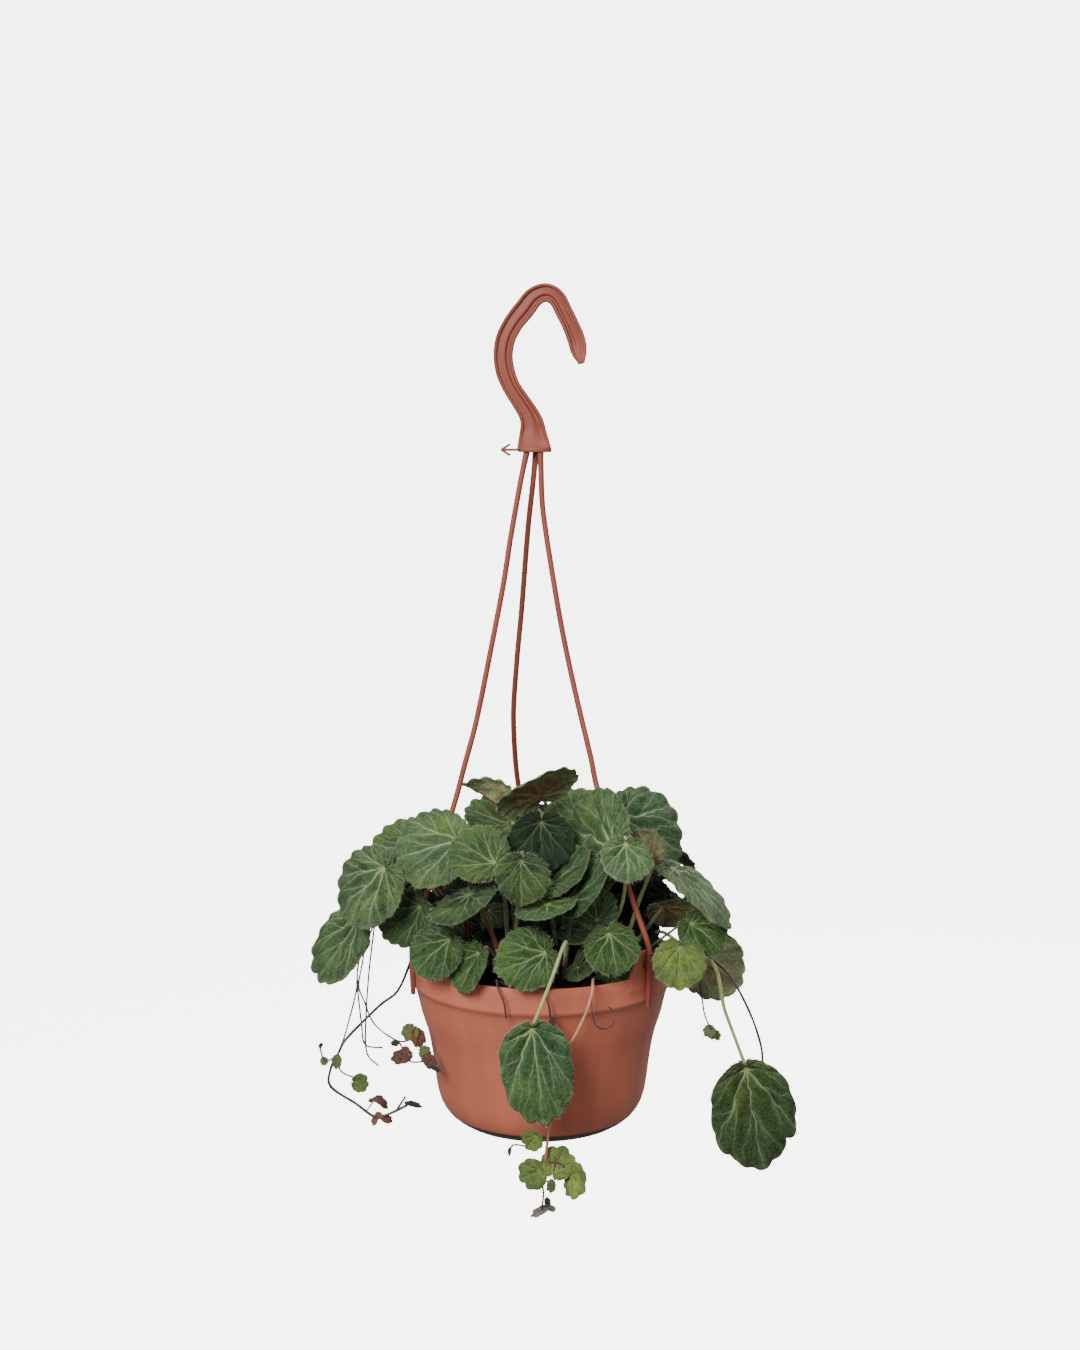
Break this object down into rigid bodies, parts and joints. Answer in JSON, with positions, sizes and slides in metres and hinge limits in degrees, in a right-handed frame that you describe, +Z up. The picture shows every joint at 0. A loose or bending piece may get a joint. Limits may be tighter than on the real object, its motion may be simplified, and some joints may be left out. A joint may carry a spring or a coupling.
{
  "type": "potted strawberry begonia in a hanging pot",
  "caption": "Strawberry begonia with round veined leaves and trailing runners in a plastic hanging pot, held by a moulded hook with long arms.",
  "frame": {"origin": "the point inside the hook that rests on a rail, midway through the hook's depth", "axes": "+Z up along the hang, +X to the right in the front view, +Y away from the viewer"},
  "size_m": [0.2752, 0.2012, 0.5024],
  "materials": {
    "pot_plastic": "terracotta-brown moulded plastic, semi-gloss",
    "hanger_plastic": "terracotta-brown moulded plastic, semi-gloss",
    "soil": "dark crumbly potting soil",
    "leaf": "hairy green leaf with silvery veins and a reddish brown underside",
    "runner": "thin red and purple stems with small green leaves"
  },
  "bodies": {
    "root": {"pot": "pot_plastic", "hanger": "hanger_plastic", "soil": "soil", "rosette_1": "leaf", "rosette_2": "leaf", "rosette_3": "leaf", "rosette_4": "leaf", "rosette_5": "leaf", "rosette_6": "leaf", "rosette_7": "leaf", "rosette_8": "leaf", "runner_left": "runner", "runner_front": "runner", "runner_right": "runner", "runner_back": "runner"}
  },
  "joints": []
}
